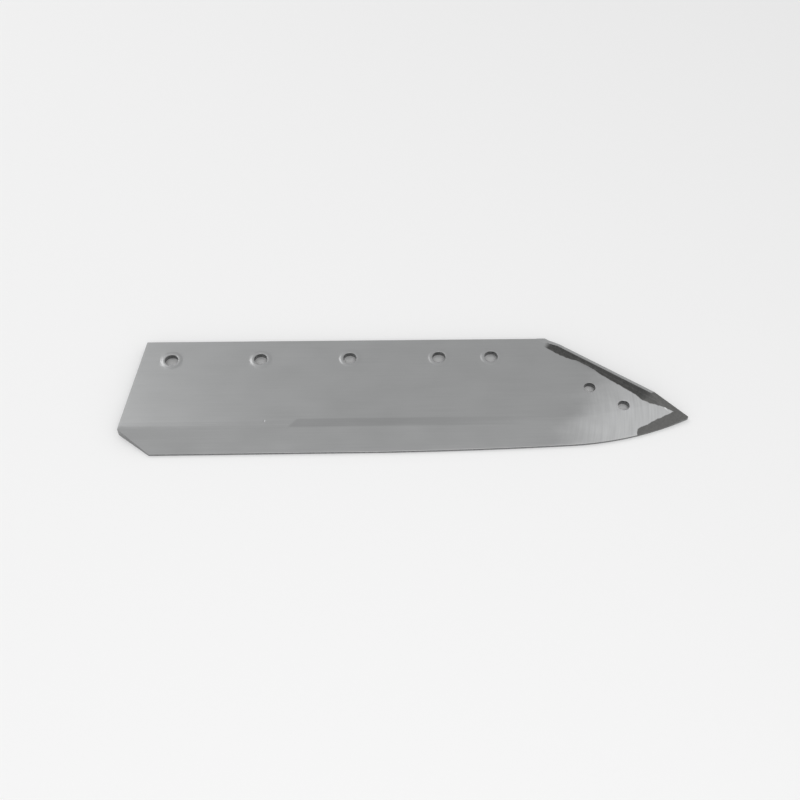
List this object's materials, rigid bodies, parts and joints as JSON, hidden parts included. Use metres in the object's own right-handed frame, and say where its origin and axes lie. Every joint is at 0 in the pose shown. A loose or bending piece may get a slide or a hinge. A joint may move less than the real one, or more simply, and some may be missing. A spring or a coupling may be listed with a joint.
{
  "type": "plough share",
  "caption": "Flat steel plough share with a bevelled cutting edge, a raised landside rib, a struck point and holes for plough bolts.",
  "frame": {"origin": "centre of the bounding box on the flat front face, which the share lies on", "axes": "+X along the bolt row from the heel to the point, +Y from the cutting edge to the bolt row, +Z out of the back face that seats on the plough frog"},
  "size_m": [0.5576, 0.1342, 0.0144],
  "materials": {
    "share_steel": "bare hardened steel, finely scored on the flat, dark forging scale at the point"
  },
  "bodies": {
    "root": {"plough_share": "share_steel"}
  },
  "joints": []
}
